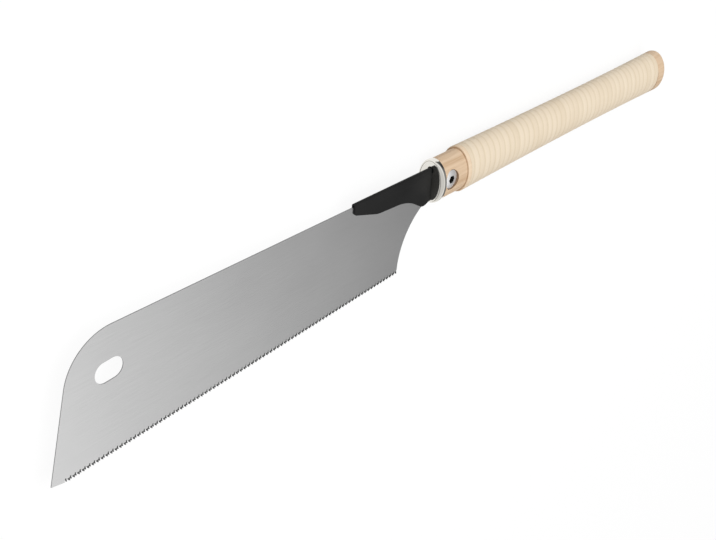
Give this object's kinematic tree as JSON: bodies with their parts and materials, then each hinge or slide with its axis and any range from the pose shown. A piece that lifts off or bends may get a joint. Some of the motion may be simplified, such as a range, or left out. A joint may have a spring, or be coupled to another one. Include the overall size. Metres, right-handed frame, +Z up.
{
  "type": "pull saw",
  "caption": "Single-edged pull saw with a thin toothed blade in a folded black holder, clamped by a cross screw in a slotted oval wooden handle with a wound strip grip.",
  "frame": {"origin": "centre of the flat end face of the handle's butt", "axes": "+X along the handle towards the blade's toe, +Y in the blade's plane from its back towards its teeth, +Z up and square to the blade, with the saw lying on its side"},
  "size_m": [0.5963, 0.0839, 0.0228],
  "materials": {
    "saw_steel": "finely ground, satin",
    "black_sheet": "satin black",
    "bright_plate": "polished plating",
    "handle_wood": "smooth, lightly sealed",
    "cane_strip": "matte split cane",
    "screw_steel": "plain bright steel"
  },
  "bodies": {
    "handle": {"handle_core": "handle_wood", "grip_wrap": "cane_strip", "ferrule": "bright_plate", "sleeve_nut": "screw_steel"},
    "blade_unit": {"blade": "saw_steel", "blade_holder": "black_sheet"},
    "washer": {"screw_washer": "screw_steel"},
    "screw": {"clamp_screw": "screw_steel"}
  },
  "joints": [
    {"name": "blade_slide", "type": "slide", "parent": "handle", "child": "blade_unit", "axis": [1, 0, 0], "range_m": [0, 0.046]},
    {"name": "screw_feed", "type": "slide", "parent": "handle", "child": "washer", "axis": [0, 0, 1], "range_m": [0, 0.003]},
    {"name": "screw_turn", "type": "hinge", "parent": "washer", "child": "screw", "pos_m": [0.283, -0.001, 0.008], "axis": [0, 0, 1], "range_deg": [0, 1080]}
  ],
  "couplings": [
    {"joint": "screw_turn", "follows": "screw_feed", "rad_per_m": 6283.2}
  ]
}
